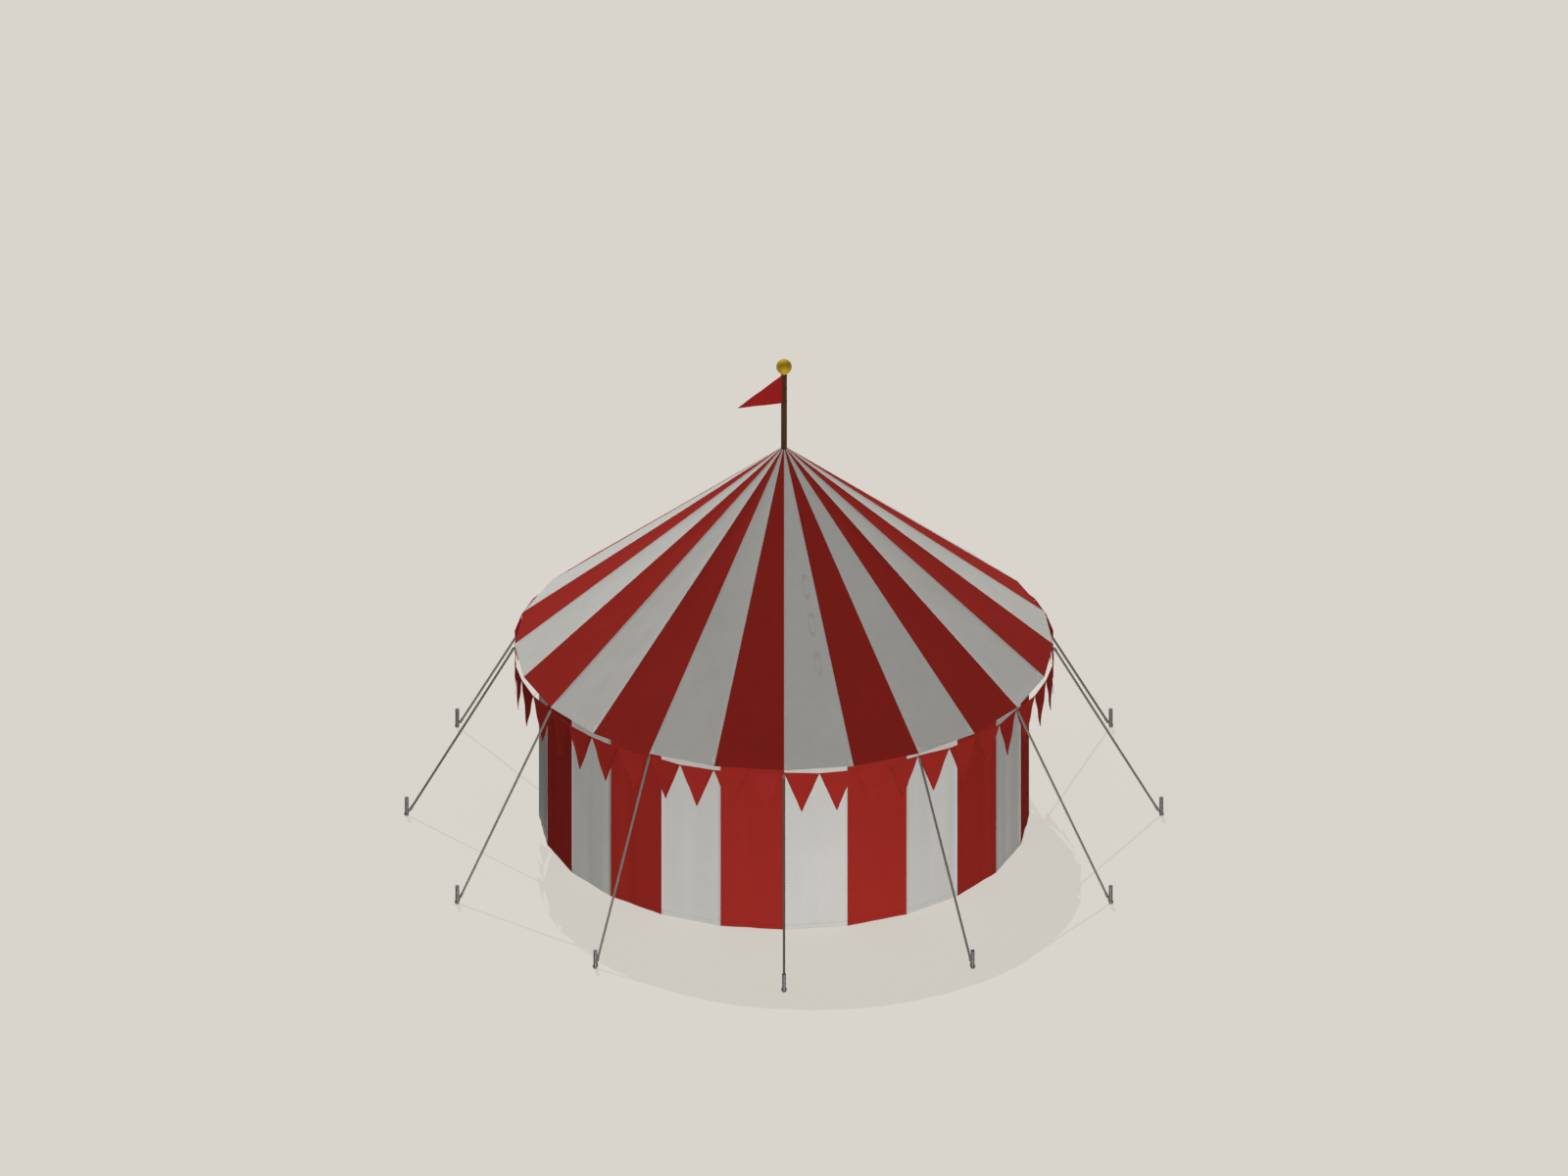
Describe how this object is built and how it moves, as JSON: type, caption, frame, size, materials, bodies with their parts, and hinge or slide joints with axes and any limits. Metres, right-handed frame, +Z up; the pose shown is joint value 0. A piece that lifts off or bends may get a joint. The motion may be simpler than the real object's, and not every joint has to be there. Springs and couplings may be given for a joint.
{
  "type": "medieval tent",
  "caption": "Round medieval tent with striped cone roof and wall on a centre pole, pennant bunting under the eave, guy ropes to iron stakes, a gilt ball and a pennant flag on top.",
  "frame": {"origin": "foot of the centre pole, on the ground, in the middle of the ring of stakes", "axes": "+Z up; -Y is the side that faces the viewer, a wall corner with a guy rope; +X to the viewer's right"},
  "size_m": [7.7926, 7.7926, 5.256],
  "materials": {
    "white_canvas": "matt woven cotton canvas",
    "red_canvas": "matt woven cotton canvas, dyed red",
    "crimson_cloth": "matt woven cloth, dyed crimson",
    "hemp_rope": "laid natural rope, grey with weather",
    "stake_iron": "forged bar, dull grey",
    "dark_wood": "oiled dark wood",
    "gilt_metal": "gilt, half polished"
  },
  "bodies": {
    "root": {"centre_pole": "dark_wood", "finial_ball": "gilt_metal", "flag": "crimson_cloth", "roof_red_gores": "red_canvas", "roof_white_gores": "white_canvas", "bunting_front_right": "red_canvas", "bunting_back_right": "red_canvas", "bunting_back_left": "red_canvas", "bunting_front_left": "red_canvas", "wall_bay_01": "white_canvas", "wall_bay_02": "white_canvas", "wall_bay_03": "white_canvas", "wall_bay_04": "white_canvas", "wall_bay_05": "white_canvas", "wall_bay_06": "white_canvas", "wall_bay_07": "white_canvas", "wall_bay_08": "white_canvas", "wall_bay_09": "white_canvas", "wall_bay_10": "white_canvas", "wall_bay_11": "white_canvas", "wall_bay_12": "white_canvas", "guy_rope_01": "hemp_rope", "guy_rope_02": "hemp_rope", "guy_rope_03": "hemp_rope", "guy_rope_04": "hemp_rope", "guy_rope_05": "hemp_rope", "guy_rope_06": "hemp_rope", "guy_rope_07": "hemp_rope", "guy_rope_08": "hemp_rope", "guy_rope_09": "hemp_rope", "guy_rope_10": "hemp_rope", "guy_rope_11": "hemp_rope", "guy_rope_12": "hemp_rope", "guy_stake_01": "stake_iron", "guy_stake_02": "stake_iron", "guy_stake_03": "stake_iron", "guy_stake_04": "stake_iron", "guy_stake_05": "stake_iron", "guy_stake_06": "stake_iron", "guy_stake_07": "stake_iron", "guy_stake_08": "stake_iron", "guy_stake_09": "stake_iron", "guy_stake_10": "stake_iron", "guy_stake_11": "stake_iron", "guy_stake_12": "stake_iron"}
  },
  "joints": []
}
